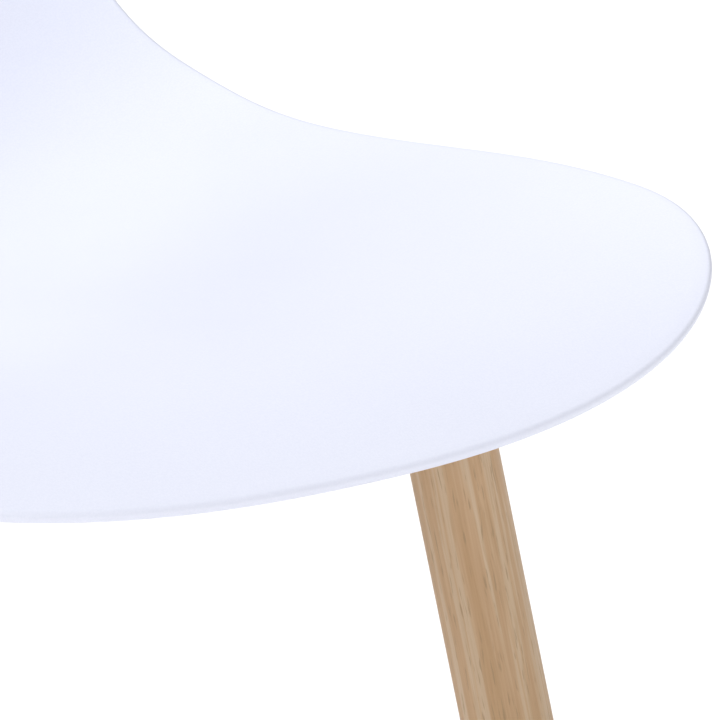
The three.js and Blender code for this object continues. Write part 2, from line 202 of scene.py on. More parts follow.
# ---------------------------------------------------------------------- materials


def shell_plastic():
    """Satin white polypropylene with the fine even texture of its mould."""
    s = Surface("shell_plastic", IOR=1.49)
    cloud = s.noise(7, detail=3)
    speck = s.noise(1400, detail=1)
    base = s.ramp(cloud, (0.3, (0.764, 0.787, 0.905)), (0.7, (0.792, 0.814, 0.930)))
    flecks = s.ramp(speck, (0.35, (0.741, 0.767, 0.89)), (0.65, (0.812, 0.833, 0.945)))
    base = s.mix(0.35, base, flecks)
    rough = s.maths("ADD", s.scale(s.noise(22, detail=4), 0.36, 0.46), s.scale(speck, -0.03, 0.03))
    sink = s.bump(s.noise(16, detail=1), 0.00025, 0.35)
    grain = s.bump(s.noise(2600, detail=2), 0.00004, 0.5, under=sink)
    return s.wire(Base_Color=base, Roughness=rough, Normal=grain)


def leg_wood(seed):
    """Pale oak-toned hardwood, its grain along the leg's own Z, under a matt lacquer."""
    s = Surface(f"leg_wood_{seed}", Coat_Weight=0.12, Coat_Roughness=0.38)
    shift = (0.37 * seed, 0.61 * seed, 0.23 * seed)
    sway = s.noise(9, detail=1, stretch=(0.3, 0.3, 1), shift=shift)
    aside = s.add(
        "ShaderNodeCombineXYZ", X=s.scale(sway, -0.004, 0.004), Y=s.scale(sway, 0.003, -0.003),
    ).outputs[0]
    bent = s.add("ShaderNodeVectorMath", {"operation": "ADD"}, i0=s.place, i1=aside).outputs[0]
    band = s.noise(300, detail=2, roughness=0.5, stretch=(1, 1, 0.02), shift=shift, vector=bent)
    streak = s.noise(640, detail=2, stretch=(1, 1, 0.045), shift=shift, vector=bent)
    fibre = s.noise(1500, detail=3, roughness=0.6, stretch=(1, 1, 0.02), shift=shift, vector=bent)
    pore = s.noise(1300, detail=1, stretch=(1, 1, 0.085), shift=shift, vector=bent)
    tan = s.ramp(
        band,
        (0.36, (0.455, 0.272, 0.129)),
        (0.46, (0.487, 0.301, 0.158)),
        (0.535, (0.510, 0.331, 0.185)),
        (0.575, (0.546, 0.397, 0.256)),
        (0.70, (0.562, 0.418, 0.279)),
    )
    fibres = s.ramp(fibre, (0.32, (0.405, 0.246, 0.120)), (0.68, (0.590, 0.424, 0.266)))
    tan = s.mix(0.28, tan, fibres)
    streaks = s.ramp(streak, (0.56, 0.0), (0.66, 1.0))
    tan = s.mix(s.maths("MULTIPLY", streaks, 0.45), tan, (0.425, 0.262, 0.126))
    pores = s.ramp(pore, (0.62, 0.0), (0.72, 1.0))
    colour = s.mix(s.maths("MULTIPLY", pores, 0.75), tan, (0.340, 0.222, 0.110))
    rough = s.scale(fibre, 0.46, 0.62)
    height = s.maths("SUBTRACT", s.maths("MULTIPLY", fibre, 0.35), s.maths("MULTIPLY", pores, 0.8))
    return s.wire(Base_Color=colour, Roughness=rough, Normal=s.bump(height, 0.00012, 0.5))


def frame_steel():
    """Black powder coat: a fine orange-peel skin, rubbed a little at its edges."""
    s = Surface("frame_steel")
    peel = s.noise(900, detail=2)
    edges = s.add("ShaderNodeNewGeometry").outputs["Pointiness"]
    rub = s.ramp(edges, (0.53, 0.0), (0.62, 1.0))
    base = s.ramp(s.noise(60, detail=4), (0.3, (0.017, 0.017, 0.018)), (0.7, (0.028, 0.028, 0.030)))
    base = s.mix(s.maths("MULTIPLY", rub, 0.4), base, (0.075, 0.075, 0.08))
    rough = s.scale(s.noise(150, detail=3), 0.40, 0.55)
    return s.wire(Base_Color=base, Roughness=rough, Normal=s.bump(peel, 0.00008, 0.6))


def zinc_steel():
    """Bright zinc plate: a cool, slightly cloudy metal."""
    s = Surface("zinc_steel", Metallic=1.0)
    cloud = s.noise(260, detail=4)
    base = s.ramp(cloud, (0.3, (0.50, 0.52, 0.56)), (0.7, (0.66, 0.67, 0.69)))
    rough = s.scale(s.noise(700, detail=3), 0.24, 0.42)
    grain = s.bump(s.noise(1800, detail=2), 0.00003, 0.4)
    return s.wire(Base_Color=base, Roughness=rough, Normal=grain)


def brass():
    """Turned brass, a little uneven in tone."""
    s = Surface("brass", Metallic=1.0)
    base = s.ramp(s.noise(300, detail=3), (0.3, (0.56, 0.40, 0.14)), (0.7, (0.72, 0.54, 0.22)))
    rough = s.scale(s.noise(900, detail=2), 0.25, 0.4)
    grain = s.bump(s.noise(2000), 0.00003, 0.3)
    return s.wire(Base_Color=base, Roughness=rough, Normal=grain)


def rubber():
    """Matt black rubber."""
    s = Surface("rubber")
    base = s.ramp(s.noise(400, detail=4), (0.3, (0.018, 0.018, 0.018)), (0.7, (0.034, 0.033, 0.032)))
    rough = s.scale(s.noise(800, detail=2), 0.72, 0.9)
    grain = s.bump(s.noise(1500, detail=3), 0.00008, 0.5)
    return s.wire(Base_Color=base, Roughness=rough, Normal=grain)


def glide_nylon():
    """Dark nylon with scuffs."""
    s = Surface("glide_nylon")
    scuff = s.noise(260, detail=5, roughness=0.65)
    base = s.ramp(
        scuff,
        (0.35, (0.020, 0.019, 0.018)),
        (0.62, (0.036, 0.034, 0.032)),
        (0.78, (0.09, 0.086, 0.08)),
    )
    rough = s.scale(scuff, 0.45, 0.75)
    return s.wire(Base_Color=base, Roughness=rough, Normal=s.bump(scuff, 0.00006, 0.6))


MATERIALS = {
    "shell_plastic": shell_plastic(),
    "frame_steel": frame_steel(),
    "zinc_steel": zinc_steel(),
    "brass": brass(),
    "rubber": rubber(),
    "glide_nylon": glide_nylon(),
}

# ------------------------------------------------------------------- mesh helpers


def make_piece(name, points, faces, slot, stands_for=(), sharp=35.0, matrix=None):
    """A smooth-shaded piece with hard edges where faces meet at more than `sharp` degrees."""
    mesh = bpy.data.meshes.new(name)
    mesh.from_pydata([tuple(p) for p in points], [], [tuple(f) for f in faces])
    bm = bmesh.new()
    bm.from_mesh(mesh)
    bmesh.ops.remove_doubles(bm, verts=bm.verts, dist=1e-6)
    bmesh.ops.recalc_face_normals(bm, faces=bm.faces)
    harden(bm, sharp)
    bm.to_mesh(mesh)
    bm.free()
    piece = bpy.data.objects.new(name, mesh)
    bpy.context.scene.collection.objects.link(piece)
    if matrix is not None:
        piece.matrix_world = matrix
    return finish_piece(piece, slot, stands_for)


def harden(bm, sharp):
    """Smooth faces, with hard edges where they meet at more than `sharp` degrees."""
    limit = math.radians(sharp)
    for face in bm.faces:
        face.smooth = True
    for edge in bm.edges:
        edge.smooth = len(edge.link_faces) == 2 and edge.calc_face_angle() < limit


def reharden(piece, sharp, slot):
    """Sets the hard edges and the one material again, after a boolean."""
    bm = bmesh.new()
    bm.from_mesh(piece.data)
    harden(bm, sharp)
    bm.to_mesh(piece.data)
    bm.free()
    piece.data.materials.clear()
    piece.data.materials.append(MATERIALS[slot])


def finish_piece(piece, slot, stands_for=(), material=None):
    """Gives a piece the material of its slot or the one given, hangs it on the root body and hides
    the CAD nodes that it stands for.
    """
    piece.data.materials.clear()
    piece.data.materials.append(material or MATERIALS[slot])
    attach(piece, "root")
    if stands_for:
        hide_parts(*stands_for)
    return piece


def loft(loops, closed_ends=True):
    """Faces through equal closed loops of points; the ends are capped with one face each."""
    count = len(loops[0])
    points = [p for loop in loops for p in loop]
    faces = []
    for k in range(len(loops) - 1):
        for i in range(count):
            j = (i + 1) % count
            faces.append((k * count + i, k * count + j, (k + 1) * count + j, (k + 1) * count + i))
    if closed_ends:
        faces.append(tuple(range(count))[::-1])
        faces.append(tuple((len(loops) - 1) * count + i for i in range(count)))
    return points, faces


def turned(profile, sides=48):
    """A solid of revolution about Z from (radius, height) points.

    A profile that starts and ends on the axis gives a plain solid, any other a ring."""
    loops = []
    for radius, height in profile:
        loops.append([
            Vector((radius * math.cos(t), radius * math.sin(t), height))
            for t in (2 * math.pi * i / sides for i in range(sides))
        ])
    on_axis = profile[0][0] < 1e-9 and profile[-1][0] < 1e-9
    if on_axis:
        points, faces = loft(loops[1:-1], closed_ends=False)
        base = len(points)
        last = base - sides
        points += [Vector((0, 0, profile[0][1])), Vector((0, 0, profile[-1][1]))]
        for i in range(sides):
            j = (i + 1) % sides
            faces.append((base, j, i))
            faces.append((base + 1, last + i, last + j))
        return points, faces
    return loft(loops + [loops[0]], closed_ends=False)


def arc(centre, radius, start, end, steps):
    """Points on an arc in the plane, angles in degrees."""
    angles = [math.radians(start + (end - start) * i / steps) for i in range(steps + 1)]
    return [
        (centre[0] + radius * math.cos(angle), centre[1] + radius * math.sin(angle))
        for angle in angles
    ]


def extruded(outline, low, high, bevel, steps=3):
    """A plate of that outline (counter-clockwise) from low to high, its edges rounded."""
    count = len(outline)
    inward = []
    for i in range(count):
        a, b, c = (Vector(outline[(i + k) % count]) for k in (-1, 0, 1))
        before, after = (b - a).normalized(), (c - b).normalized()
        n = Vector((-(before.y + after.y), before.x + after.x)).normalized()
        inward.append(n / max(0.5, n.dot(Vector((-before.y, before.x)))))
    edge = []
    for step in range(steps + 1):
        t = math.pi / 2 * step / steps
        edge.append((bevel * (1 - math.sin(t)), low + bevel * (1 - math.cos(t))))
    edge += [(inset, high + low - z) for inset, z in reversed(edge)]
    loops = []
    for inset, z in edge:
        loops.append([
            Vector((p[0] + n.x * inset, p[1] + n.y * inset, z)) for p, n in zip(outline, inward)
        ])
    return loft(loops)


def moved(matrix, built):
    """Points and faces with the points moved by a matrix."""
    points, faces = built
    return [matrix @ Vector(p) for p in points], faces


def boolean(piece, points, faces, operation):
    """Joins or cuts a closed shape, in the piece's own coordinates."""
    mesh = bpy.data.meshes.new("tool")
    mesh.from_pydata([tuple(p) for p in points], [], [tuple(f) for f in faces])
    bm = bmesh.new()
    bm.from_mesh(mesh)
    bmesh.ops.recalc_face_normals(bm, faces=bm.faces)
    bm.to_mesh(mesh)
    bm.free()
    tool = bpy.data.objects.new("tool", mesh)
    bpy.context.scene.collection.objects.link(tool)
    tool.matrix_world = piece.matrix_world
    modifier = piece.modifiers.new("cut", "BOOLEAN")
    modifier.object = tool
    modifier.operation = operation
    modifier.solver = "EXACT"
    bpy.context.view_layer.update()
    evaluated = piece.evaluated_get(bpy.context.evaluated_depsgraph_get())
    result = bpy.data.meshes.new_from_object(evaluated)
    piece.modifiers.clear()
    piece.data = result
    bpy.data.objects.remove(tool)
    bm = bmesh.new()
    bm.from_mesh(result)
    bmesh.ops.remove_doubles(bm, verts=bm.verts, dist=SLIVER)
    bm.to_mesh(result)
    bm.free()


# ---------------------------------------------------------------------- the shell

STATIONS = np.array(SHELL_STATIONS, float)


def spline(u):
    """Rows of the clamped cubic B-spline through the stations, for an array of u from 0 to 1."""
    spans = len(STATIONS) - 3
    u = np.clip(np.asarray(u, float), 0, 1)
    span = np.minimum((u * spans).astype(int), spans - 1) + 3

    def knot(i):
        return np.clip(i - 3, 0, spans) / spans

    d = [STATIONS[span - 3 + j] for j in range(4)]
    for level in (1, 2, 3):
        for j in range(3, level - 1, -1):
            low, high = knot(span - 3 + j), knot(span + 1 + j - level)
            blend = ((u - low) / (high - low))[..., None]
            d[j] = (1 - blend) * d[j - 1] + blend * d[j]
    return d[3]


fine_u = np.linspace(0, 1, 4001)
fine_rows = spline(fine_u)
fine_length = np.concatenate([[0], np.cumsum(np.hypot(*np.diff(fine_rows[:, :2], axis=0).T))])
shell_length = fine_length[-1]


def u_at(length):
    """The spline's parameter at a length along the shell from its front lip."""
    return np.interp(length, fine_length, fine_u)


def shell_point(x, u):
    """The shell's middle surface, in millimetres from the middle of the cross frame."""
    step = 1e-4
    low = np.clip(u - step, 0, 1 - 2 * step)
    slope = (spline(low + 2 * step) - spline(low))[..., :2]
    slope /= np.linalg.norm(slope, axis=-1, keepdims=True)
    row = spline(u)
    rise = row[..., 2] * (np.abs(x) / SHELL_DISH_WIDTH) ** SHELL_DISH_POWER
    y = row[..., 0] - slope[..., 1] * rise
    z = row[..., 1] + slope[..., 0] * rise
    return np.stack([x, y, z], -1)


def shell_normal(x, u):
    """The unit normal of the shell's middle surface, on the sitter's side."""
    step_x, step_u = 0.5, 5e-4
    low = np.clip(u - step_u, 0, 1 - 2 * step_u)
    across = shell_point(x + step_x, u) - shell_point(x - step_x, u)
    along = shell_point(x, low + 2 * step_u) - shell_point(x, low)
    normal = np.cross(across, along)
    return normal / np.linalg.norm(normal, axis=-1, keepdims=True)


def shell_outline():
    """The shell's outline, once round: the part of the way round, x and length of each point."""

    def corner(turn, depth, power):
        part, reach = np.cos(turn) ** (2 / power), np.sin(turn) ** (2 / power)
        return part, depth * (1 - reach)

    turn = np.linspace(np.pi / 2, 0, 400)
    part, length = corner(turn, *FRONT_CORNER)
    parts, lengths = [part], [length]
    side = np.linspace(FRONT_CORNER[0], shell_length - TOP_CORNER[0], 600)[1:-1]
    parts.append(np.ones_like(side))
    lengths.append(side)
    part, length = corner(turn[::-1], *TOP_CORNER)
    parts.append(part)
    lengths.append(shell_length - length)
    part, length = np.concatenate(parts), np.concatenate(lengths)
    part[0] = part[-1] = 0
    x = part * spline(u_at(length))[:, 3]
    x = np.concatenate([x, -x[-2::-1]])
    length = np.concatenate([length, length[-2::-1]])
    run = np.concatenate([[0], np.cumsum(np.hypot(np.diff(x), np.diff(length)))])
    return run / run[-1], x, length


outline_run, outline_x, outline_length = shell_outline()


def outline_at(run):
    """The outline's x and length at parts of the way round, from 0 to 1."""
    return np.interp(run, outline_run, outline_x), np.interp(run, outline_run, outline_length)


def build_shell(rings=64, edge_steps=6):
    """The whole shell as square rings about its middle, so that every face is a quad.

    Ring k has 8k points. Both sides share the rim loops, which round the edge."""

    def ring(k):
        """The x and length of the points of ring k."""
        run = np.arange(8 * k) / (8 * k)
        x, length = outline_at(run)
        part = k / rings
        return part * x, SHELL_MIDDLE + part * (length - SHELL_MIDDLE)

    def surface(x, u, side):
        """Points on the outer face of that side, 1 for the sitter's and -1 for the other."""
        return shell_point(x, u) + side * SHELL_HALF_THICKNESS * shell_normal(x, u)

    points, index = [], {}

    def add(key, block):
        index[key] = sum(len(b) for b in points)
        points.append(block)

    for side in (1, -1):
        add((side, 0), surface(np.zeros(1), u_at(np.array([SHELL_MIDDLE])), side))
        for k in range(1, rings):
            x, length = ring(k)
            add((side, k), surface(x, u_at(length), side))

    x, length = ring(rings)
    edge = shell_point(x, u_at(length))
    normal = shell_normal(x, u_at(length))
    along = np.roll(edge, -1, 0) - np.roll(edge, 1, 0)
    outward = np.cross(along, normal)
    outward /= np.linalg.norm(outward, axis=1, keepdims=True)
    turns = np.linspace(0, np.pi / 2, edge_steps + 1)
    flat = SHELL_HALF_THICKNESS - SHELL_EDGE_ROUND
    rim = [(SHELL_EDGE_ROUND * (np.sin(t) - 1), flat + SHELL_EDGE_ROUND * np.cos(t)) for t in turns]
    rim += [(out, -up) for out, up in reversed(rim)]
    for i, (out, up) in enumerate(rim):
        add(("rim", i), edge + out * outward + up * normal)

    faces = []

    def weave(inner, outer, k, turn):
        """Quads between ring k - 1, which starts at point inner, and ring k, from outer on."""
        inside, outside = 8 * (k - 1), 8 * k
        for quarter in range(4):
            for i in range(1, 2 * k - 1):
                at = quarter * 2 * k + i
                a, b = outer + at % outside, outer + (at + 1) % outside
                at = quarter * 2 * (k - 1) + i - 1
                c, d = inner + at % inside, inner + (at + 1) % inside
                faces.append((c, a, b, d)[::turn])
            corner = quarter * 2 * k
            before, at, after = (outer + (corner + j) % outside for j in (-1, 0, 1))
            inside_corner = inner + (quarter * 2 * (k - 1)) % inside if k > 1 else inner
            faces.append((inside_corner, before, at, after)[::turn])

    for side, rim_loop in ((1, 0), (-1, len(rim) - 1)):
        index[(side, rings)] = index[("rim", rim_loop)]
        for k in range(1, rings + 1):
            weave(index[(side, k - 1)], index[(side, k)], k, -side)
    count = 8 * rings
    for i in range(len(rim) - 1):
        a, b = index[("rim", i)], index[("rim", i + 1)]
        for j in range(count):
            n = (j + 1) % count
            faces.append((a + j, b + j, b + n, a + n))
    placed = np.concatenate(points) * MM + np.array(middle)
    return placed, faces


def seat_height(x, y):
    """Height of the shell's middle surface over a point of the seat, all in millimetres."""
    u = np.linspace(0, u_at(SHELL_MIDDLE), 2000)
    line = shell_point(np.full_like(u, x), u)
    return float(np.interp(y, line[:, 1], line[:, 2]))


# ------------------------------------------------------------ the corners' own sizes

TUBE_WIDTH = 25 * MM
TUBE_CORNER = 2.5 * MM
BRACKET_INSIDE = LEG_RADIUS + GAP
BRACKET_WALL = 3 * MM
BRACKET_OUTSIDE = BRACKET_INSIDE + BRACKET_WALL
BRACKET_LOW, BRACKET_HIGH, BRACKET_CHEEK = 9 * MM, 39 * MM, 9 * MM
LEG_BOLT_HEIGHTS = {"lower": 16 * MM, "upper": 32 * MM}
NUT_CORNER, NUT_HEIGHT = 5.8 * MM, 5 * MM
BOLT_RADIUS = 3 * MM
BOLT = (BOLT_RADIUS, 5.5 * MM, 3.2 * MM)  # radii of shank and head, height of head
BOLT_SEAT = BRACKET_OUTSIDE + GAP
BOLT_END = -(BRACKET_OUTSIDE + NUT_HEIGHT + 1.5 * MM)
SCREW_RADIUS = 2.1 * MM
SCREW = (SCREW_RADIUS, 4.5 * MM, washer_low - GAP - screw_low)
HEX_SOCKET_SHARE = 0.42  # of the screw head's radius
MOUNT_REACH, MOUNT_ASIDE = 95 * MM, 24 * MM  # a seat screw's place along and off the diagonal
BOSS_RADIUS, BOSS_ROUND, BOSS_SPREAD = 12 * MM, 0.8 * MM, 0.4 * MM
BOSS_HOLE_RADIUS, BOSS_HOLE_DEPTH = 4 * MM, 9.6 * MM
SPACER_RADIUS, WASHER_RADIUS = 10 * MM, 6 * MM
GLIDE_RADIUS, GLIDE_TOP_RADIUS = 12 * MM, 11.4 * MM
WELD_STEP, WELD_RIPPLE = 0.35 * MM, 2.1 * MM  # between mesh loops, and between ripples
WELD_RISE, WELD_UNEVEN = 0.13, 0.05  # of a bead's radius


def corner_frame(angle):
    """From a corner's own axes, with X out along its diagonal, to the chair's."""
    return Matrix.Translation(middle) @ Matrix.Rotation(angle, 4, "Z")


def leg_frame(angle):
    """From a leg's own axes, with Z up along it, to the chair's."""
    stand = Matrix.Translation((LEG_DATUM_REACH, 0, LEG_DATUM_Z))
    return corner_frame(angle) @ stand @ Matrix.Rotation(-LEG_LEAN, 4, "Y")


def bolt_frame(angle, height, side):
    """From a leg bolt's own axes, with Z towards its head, to the chair's."""
    across = Matrix.Rotation(-side * math.pi / 2, 4, "X")
    return leg_frame(angle) @ Matrix.Translation((0, 0, height)) @ across


def mount_frame(angle, tab_side):
    """From a seat screw's own axes, with Z up, to the chair's."""
    return corner_frame(angle) @ Matrix.Translation((MOUNT_REACH, tab_side * MOUNT_ASIDE, 0))


def leg_reach(z):
    """How far out from the middle a leg's axis is at height z."""
    return LEG_DATUM_REACH + (LEG_DATUM_Z - z) * math.tan(LEG_LEAN)


# --------------------------------------------------------------------- seat and legs


def make_shell():
    """The shell, with a boss under it for each seat screw's insert."""
    points, faces = build_shell()
    shell = make_piece("seat_shell_skin", points, faces, "shell_plastic", ["seat_shell"])
    for _, angle, tab_side in CORNERS:
        place = mount_frame(angle, tab_side)
        x, y, _ = (place.translation - middle) / MM
        top = seat_height(x, y) * MM
        edge = arc((BOSS_RADIUS - BOSS_ROUND, boss_bottom + BOSS_ROUND), BOSS_ROUND, -90, 0, 4)
        boss = [(0, boss_bottom), *edge, (BOSS_RADIUS + BOSS_SPREAD, top), (0, top)]
        low, high = boss_bottom - MM, boss_bottom + BOSS_HOLE_DEPTH
        hole = [(0, low), (BOSS_HOLE_RADIUS, low), (BOSS_HOLE_RADIUS, high), (0, high)]
        boolean(shell, *moved(place, turned(boss, 64)), "UNION")
        boolean(shell, *moved(place, turned(hole, 48)), "DIFFERENCE")
    reharden(shell, 30, "shell_plastic")


def make_leg(name, angle, seed):
    """A turned leg, straight at the top and then tapering, its foot cut level with the floor."""
    foot = -(LEG_DATUM_Z - foot_z) / math.cos(LEG_LEAN)
    taper = -LEG_STRAIGHT - foot
    straight = LEG_TOP - LEG_TOP_ROUND + LEG_STRAIGHT
    taper_steps, straight_steps = 40, 20
    profile = [(0, foot - LEG_FOOT_RADIUS), (LEG_FOOT_RADIUS, foot - LEG_FOOT_RADIUS)]
    for i in range(taper_steps + 1):
        part = i / taper_steps
        slimmer = (LEG_RADIUS - LEG_FOOT_RADIUS) * (1 - part) ** LEG_TAPER_POWER
        profile.append((LEG_RADIUS - slimmer, foot + part * taper))
    for i in range(1, straight_steps + 1):
        profile.append((LEG_RADIUS, -LEG_STRAIGHT + straight * i / straight_steps))
    shoulder = (LEG_RADIUS - LEG_TOP_ROUND, LEG_TOP - LEG_TOP_ROUND)
    profile += arc(shoulder, LEG_TOP_ROUND, 0, 90, 6)[1:]
    profile.append((0, LEG_TOP))
    points, faces = turned(profile, 96)
    mesh = bpy.data.meshes.new(name)
    mesh.from_pydata([tuple(p) for p in points], [], faces)
    bm = bmesh.new()
    bm.from_mesh(mesh)
    bmesh.ops.recalc_face_normals(bm, faces=bm.faces)
    place = leg_frame(angle)
    up = place.to_3x3().transposed() @ Vector((0, 0, 1))
    everything = bm.verts[:] + bm.edges[:] + bm.faces[:]
    bmesh.ops.bisect_plane(
        bm, geom=everything, plane_co=(0, 0, foot), plane_no=-up, clear_outer=True
    )
    # The cut leaves pairs of points where it passes close to the mesh's own.
    bmesh.ops.remove_doubles(bm, verts=bm.verts, dist=0.1 * MM)
    rim = [edge for edge in bm.edges if edge.is_boundary]
    bmesh.ops.holes_fill(bm, edges=rim)
    bmesh.ops.bevel(
        bm, geom=rim, offset=LEG_FOOT_ROUND, segments=3, affect="EDGES", profile=0.5
    )
    harden(bm, 35)
    bm.to_mesh(mesh)
    bm.free()
    leg = bpy.data.objects.new(name, mesh)
    bpy.context.scene.collection.objects.link(leg)
    leg.matrix_world = place
    finish_piece(leg, "leg_wood", [name.replace("_turned", "")], leg_wood(seed))


def make_glide(name, angle):
    """A round pad under a leg's foot, with both its edges rounded."""
    foot = corner_frame(angle) @ Matrix.Translation((leg_reach(foot_z), 0, 0))
    low_round, high_round = 1.2 * MM, 0.5 * MM
    profile = [(0, 0), *arc((GLIDE_RADIUS - low_round, low_round), low_round, -90, 0, 6)]
    high_edge = (GLIDE_TOP_RADIUS - high_round, glide_high - high_round)
    profile += arc(high_edge, high_round, 0, 90, 4)
    profile.append((0, glide_high))
    points, faces = turned(profile, 64)
    make_piece(f"{name}_pad", points, faces, "glide_nylon", [name], matrix=foot)


# -------------------------------------------------------------------- the cross frame


def make_bracket(name, angle):
    """The plate bent round a leg's inner side, with its two cheeks."""
    outline = arc((0, 0), BRACKET_OUTSIDE, 90, 270, 40)
    outline += [(BRACKET_CHEEK, -BRACKET_OUTSIDE), (BRACKET_CHEEK, -BRACKET_INSIDE)]
    outline += arc((0, 0), BRACKET_INSIDE, 270, 90, 40)
    outline += [(BRACKET_CHEEK, BRACKET_INSIDE), (BRACKET_CHEEK, BRACKET_OUTSIDE)]
    points, faces = extruded(outline, BRACKET_LOW, BRACKET_HIGH, bevel=0.5 * MM)
    make_piece(f"{name}_plate", points, faces, "frame_steel", [name], matrix=leg_frame(angle))


def tube_section():
    """The frame tube's rounded section as (y, z) points, counter-clockwise seen from +X."""
    half_width = TUBE_WIDTH / 2 - TUBE_CORNER
    half_height = (tube_high.z - tube_low.z) / 2 - TUBE_CORNER
    centre = (tube_low.z + tube_high.z) / 2
    points = []
    for turn, (y_side, z_side) in enumerate(((1, 1), (-1, 1), (-1, -1), (1, -1))):
        corner = (y_side * half_width, centre + z_side * half_height)
        points += arc(corner, TUBE_CORNER, 90 * turn, 90 * turn + 90, 6)
    return points


TUBE_SECTION = tube_section()


def bracket_end(y, z, gap=GAP):
    """How far out a tube runs before it meets the bracket."""
    across = math.sqrt((BRACKET_OUTSIDE + gap) ** 2 - y * y)
    rise = (z - LEG_DATUM_Z) * math.sin(LEG_LEAN)
    return LEG_DATUM_REACH - (across + rise) / math.cos(LEG_LEAN)


def crossing_end(y, z, gap=GAP):
    """How far out a half tube starts, beside the through tube. It is the same at every z."""
    nx, ny = math.sin(2 * DIAGONAL), -math.cos(2 * DIAGONAL)
    return (TUBE_WIDTH / 2 + gap - y * ny) / nx


def make_tube(name, angle, start, end, steps=12):
    """A tube along a diagonal. Its two ends are given as functions of y and z."""
    loops = []
    for i in range(steps + 1):
        part = i / steps
        loop = []
        for y, z in TUBE_SECTION:
            near, far = start(y, z), end(y, z)
            loop.append(Vector((near + (far - near) * part, y, z)))
        loops.append(loop)
    points, faces = loft(loops)
    make_piece(f"{name}_bar", points, faces, "frame_steel", [name], matrix=corner_frame(angle))


def weld_bead(name, path, matrix, closed=True, radius=1.7 * MM):
    """A run of weld along a path: a fat rope of overlapping ripples."""
    aside = Vector((0.31, 0.22, 0.92))  # a direction in which no path runs
    path = [Vector(p) for p in path]
    if closed:
        path.append(path[0])
    lengths = [0.0]
    for a, b in zip(path[:-1], path[1:]):
        lengths.append(lengths[-1] + (b - a).length)
    total = lengths[-1]
    count = max(12, int(total / WELD_STEP))
    waves = max(1, round(total / WELD_RIPPLE))
    spots = []
    for i in range(count if closed else count + 1):
        run = total * i / count
        spot = [float(np.interp(run, lengths, [p[k] for p in path])) for k in range(3)]
        spots.append(Vector(spot))
    loops = []
    for i, spot in enumerate(spots):
        if closed:
            before, after = spots[i - 1], spots[(i + 1) % len(spots)]
        else:
            before, after = spots[max(i - 1, 0)], spots[min(i + 1, len(spots) - 1)]
        along = (after - before).normalized()
        side = along.cross(aside).normalized()
        up = along.cross(side)
        swell = 1 + WELD_RISE * math.sin(2 * math.pi * waves * i / count)
        if not closed:
            # An open run is less even, and rounds off at its ends.
            swell += WELD_UNEVEN * math.sin(7.3 * i / 9)
            ends = min(1, (min(i, len(spots) - 1 - i) + 0.3) * WELD_STEP / radius)
            swell *= math.sqrt(1 - (1 - ends) ** 2)
        loops.append([
            spot + radius * swell * (side * math.cos(t) + up * math.sin(t))
            for t in (2 * math.pi * k / 12 for k in range(12))
        ])
    if closed:
        points, faces = loft(loops + [loops[0]], closed_ends=False)
    else:
        points, faces = loft(loops)
    make_piece(name, points, faces, "frame_steel", sharp=80, matrix=matrix)


# ------------------------------------------------------------------------- fasteners


def hexagon(corner, low, high, turn=0.1):
    """A hexagonal prism along Z, turned a little so that no corner lies on a lathe's line."""
    angles = [turn + math.pi / 3 * k for k in range(6)]
    return loft([
        [Vector((corner * math.cos(t), corner * math.sin(t), z)) for t in angles]
        for z in (low, high)
    ])


def button_screw(radius, head_radius, head, seat, end, pitch=1.0 * MM, threaded=8 * MM):
    """A domed socket screw along Z: head up, thread cut on the last stretch of its shank."""
    depth = 0.32 * pitch
    point, edge = 0.5 * MM, 0.25 * MM  # chamfers of the shank's end and of the head's edge
    rim, crown = 0.3, 0.52  # where the dome starts and ends: shares of head height and radius
    profile = [(0, end), (radius - 1.6 * depth, end), (radius - depth, end + point)]
    z = end + point
    while z + pitch < end + threaded:
        profile += [(radius, z + 0.42 * pitch), (radius, z + 0.55 * pitch)]
        profile.append((radius - depth, z + 0.97 * pitch))
        z += pitch
    profile += [(radius, z + 0.6 * pitch), (radius, seat), (head_radius - edge, seat)]
    profile += [(head_radius, seat + edge), (head_radius, seat + rim * head)]
    for part in (0.2, 0.4, 0.6, 0.8, 0.95):
        turn = part * math.pi / 2
        profile.append((
            head_radius * (crown + (1 - crown) * math.cos(turn)),
            seat + head * (rim + (1 - rim) * math.sin(turn)),
        ))
    profile += [(head_radius * 0.50, seat + head), (0, seat + head)]
    return turned(profile, 40)


def make_screw(name, matrix, sizes, seat, end):
    """A screw with a hexagon socket. Sizes: radii of shank and head, height of head."""
    radius, head_radius, head = sizes
    points, faces = button_screw(radius, head_radius, head, seat, end)
    screw = make_piece(
        f"{name}_turned", points, faces, "zinc_steel", [name], sharp=28, matrix=matrix
    )
    socket = hexagon(HEX_SOCKET_SHARE * head_radius, seat + 0.4 * head, seat + head + MM)
    boolean(screw, *socket, "DIFFERENCE")
    reharden(screw, 28, "zinc_steel")


